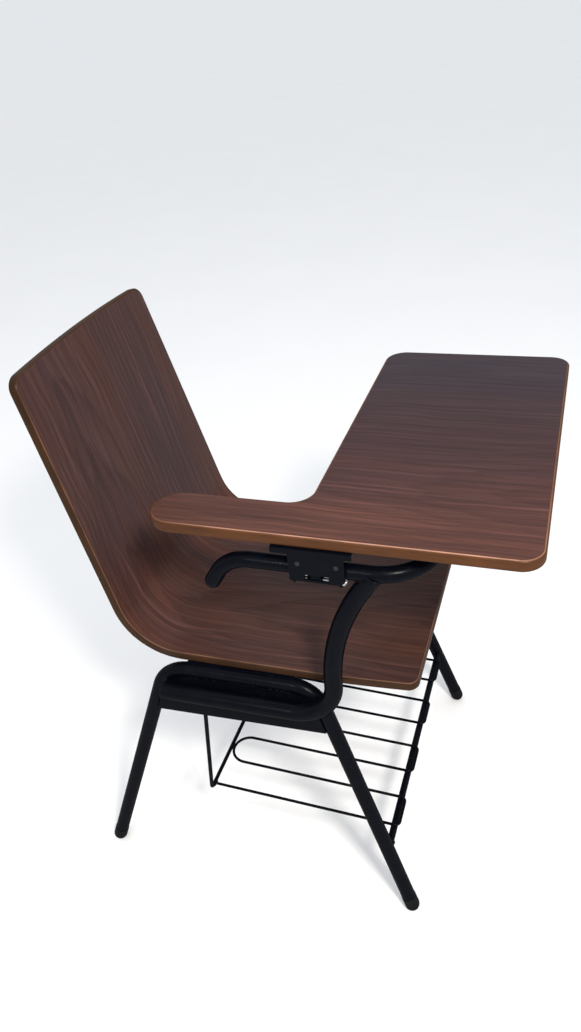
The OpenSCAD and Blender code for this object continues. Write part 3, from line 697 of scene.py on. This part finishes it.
BOLT_R, HEX_R, HEAD_H = 0.0030, 0.0050, 0.0038
THREAD_DEPTH, THREAD_STEP, THREAD_STEPS, THREAD_L = 0.0003, 0.0005, 18, 0.0095
low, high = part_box("pivot_bolt")
c, reach = middle((low, high)), high.y - low.y
bolt = Shape()
thread = [(BOLT_R - (THREAD_DEPTH if k % 2 else 0.0), reach - THREAD_L + k * THREAD_STEP)
          for k in range(THREAD_STEPS)]
bolt.lathe((c.x, high.y, c.z), (0, -1, 0), [
    (BOLT_R, 0.0), (0.0044, 0.0003), (HEX_R, 0.0011), (HEX_R, HEAD_H),
    (0.0046, HEAD_H + 0.0002), (BOLT_R, HEAD_H + 0.0002), *thread,
    (0.0024, reach - 0.0003), (0.0018, reach)], sides=36, corners=(2, 3))
bolt.build("pivot_bolt_detailed", ZINC, "tablet", ["pivot_bolt"])

NUT_HOLE_R, NUT_FACE_R, NUT_HEX_R, NUT_H, NUT_BEVEL = 0.00302, 0.0043, 0.0052, 0.0040, 0.0006
low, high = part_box("pivot_nut")
c = middle((low, high))
nut = Shape()
nut.lathe((c.x, high.y, c.z), (0, -1, 0), [
    (NUT_HOLE_R, 0.0), (NUT_FACE_R, 0.0), (NUT_HEX_R, NUT_BEVEL),
    (NUT_HEX_R, NUT_H - NUT_BEVEL), (NUT_FACE_R, NUT_H), (NUT_HOLE_R, NUT_H)],
    sides=36, twist=math.pi / 2, corners=(2, 3))
nut.build("pivot_nut_chamfered", ZINC, "tablet", ["pivot_nut"])


ARM_R, POST_R, POST_LEAN = 0.01065, 0.0127, math.radians(32)
SADDLE_BEAD_R, SADDLE_POINTS = 0.0016, 36
AXIS_INSET = 0.62  # from the post's box to where the axes cross, in slanted half widths
SADDLE_TUCK = 0.97  # draws the bead's sides in, onto the tube


def weld_saddle(shape):
    """The bead where the post's end is welded under the arm tube."""
    low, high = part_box("arm_tube")
    axis_x, axis_z = low.x + ARM_R, high.z - ARM_R
    top_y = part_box("arm_post")[0].y + POST_R / math.cos(POST_LEAN) * AXIS_INSET
    along = Vector((0, -math.sin(POST_LEAN), math.cos(POST_LEAN)))
    across = Vector((0, math.cos(POST_LEAN), math.sin(POST_LEAN)))
    limit = ARM_R - SADDLE_BEAD_R / 2
    path = []
    for k in range(SADDLE_POINTS):
        a = 2 * math.pi * k / SADDLE_POINTS
        off = max(-limit, min(limit, POST_R * math.cos(a)))
        z = axis_z - math.sqrt(ARM_R ** 2 - off ** 2)
        side = across * POST_R * math.sin(a)
        s = (z - axis_z - side.z) / along.z
        x = axis_x + POST_R * math.cos(a) * SADDLE_TUCK
        path.append((x, top_y + along.y * s + side.y, z))
    shape.bead(path, SADDLE_BEAD_R, closed=True)


HOOP_R, WIRE_GAP = 0.0032, 0.0534
ROD_TACK_R, HOOP_TACK_R, END_BEAD_R = 0.0019, 0.0022, 0.0018
END_RING_R, END_RING_POINTS = 0.0058, 16
END_INSET, END_BOW = 0.0007, 0.0030  # where the ring sits on the rod's end, and its bend inwards


def weld_basket(shape):
    """Tacks where the wires cross the front rod and meet the rear hoop, and the rod's end beads."""
    rod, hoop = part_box("basket_front_rod"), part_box("basket_rear_hoop")
    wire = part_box("basket_wire")
    centre = middle(wire).x
    for k in range(8):
        x = centre + (k - 3.5) * WIRE_GAP
        tack = [(x + d, middle(rod).y + 0.0015, rod[1].z - 0.0004)
                for d in (-0.0052, -0.002, 0.002, 0.0052)]
        shape.bead(tack, ROD_TACK_R, seed=k)
    run_y, run_z = hoop[1].y - 2 * HOOP_R, hoop[0].z + HOOP_R
    for k, place in enumerate([-3.5, -2, 0.0, 2, 3.5]):
        x = centre + place * WIRE_GAP
        tack = [(x + d, run_y, run_z) for d in (-0.006, -0.002, 0.002, 0.006)]
        shape.bead(tack, HOOP_TACK_R, seed=k + 9)
    for side in (-1, 1):
        x = rod[0].x + END_INSET if side < 0 else rod[1].x - END_INSET
        turns = [2 * math.pi * i / END_RING_POINTS for i in range(END_RING_POINTS)]
        ring = [(x - side * END_BOW * math.cos(t) ** 2, middle(rod).y + END_RING_R * math.cos(t),
                 middle(rod).z + END_RING_R * math.sin(t)) for t in turns]
        shape.bead(ring, END_BEAD_R, closed=True, seed=side)


welds = Shape()
weld_saddle(welds)
weld_basket(welds)
welds.build("weld_beads", BLACK, "frame", angle=60)


# ---------------------------------------------------------------- stage, light and camera
def add_light(name, size, at, to, power, colour=(1, 1, 1)):
    data = bpy.data.lights.new(name, "AREA")
    data.shape = "RECTANGLE"
    data.size, data.size_y = size
    data.energy = power
    data.color = colour
    lamp = bpy.data.objects.new(name, data)
    bpy.context.scene.collection.objects.link(lamp)
    lamp.location = at
    lamp.rotation_euler = (Vector(to) - Vector(at)).to_track_quat("-Z", "Y").to_euler()
    return lamp


FLOOR_HALF = 2500.0


def build_stage():
    """Pale floor, wide enough for its far edge to meet the horizon."""
    mesh = bpy.data.meshes.new("floor")
    corners = [(x * FLOOR_HALF, y * FLOOR_HALF, 0) for x, y in ((-1, -1), (1, -1), (1, 1), (-1, 1))]
    mesh.from_pydata(corners, [], [(0, 1, 2, 3)])
    floor = bpy.data.objects.new("floor", mesh)
    bpy.context.scene.collection.objects.link(floor)
    g = Graph("floor_paper")
    place = g.add("ShaderNodeTexCoord").outputs["Object"]
    tone = g.noise(place, 3.0, 2.0, 0.5)
    g.set(Base_Color=g.mix(tone, (0.80, 0.80, 0.80), (0.83, 0.83, 0.83)), Roughness=0.9,
          Specular_IOR_Level=0.1)
    mesh.materials.append(g.mat)


build_stage()
world = bpy.data.worlds.new("studio")
bpy.context.scene.world = world
world.use_nodes = True
sky = world.node_tree.nodes["Background"].inputs
sky[0].default_value = (0.94, 0.965, 1.0, 1)
sky[1].default_value = 1.0
# the strip adds a highlight along the arm tube
add_light("key", size=(0.30, 0.30), at=(-1.25, -0.95, 2.0), to=(-0.1, -0.1, 0.6), power=44,
          colour=(1.0, 0.95, 0.88))
add_light("strip", size=(0.24, 0.12), at=(-1.70, 0.42, 1.68), to=(-0.26, -0.15, 0.67), power=7,
          colour=(1.0, 0.98, 0.95))
add_light("top", size=(2.2, 2.2), at=(0.5, 0.6, 3.0), to=(0, 0, 0.4), power=12,
          colour=(0.93, 0.96, 1.0))
bpy.context.scene.view_settings.view_transform = "Standard"

SENSOR_MM, LENS_MM = 36, 28.65
CAMERA_AT = (-0.9970, -0.3613, 1.2771)
camera_data = bpy.data.cameras.new("camera")
camera_data.sensor_fit = "AUTO"
camera_data.sensor_width = SENSOR_MM
camera_data.lens = LENS_MM
camera = bpy.data.objects.new("camera", camera_data)
bpy.context.scene.collection.objects.link(camera)
right = Vector((0.31084, -0.94517, -0.10020))
down = Vector((-0.55688, -0.09568, -0.82506))
ahead = Vector((0.77024, 0.31226, -0.55609))
turned = Matrix((right, -down, -ahead)).transposed()
camera.matrix_world = Matrix.Translation(CAMERA_AT) @ turned.to_4x4()
bpy.context.scene.camera = camera
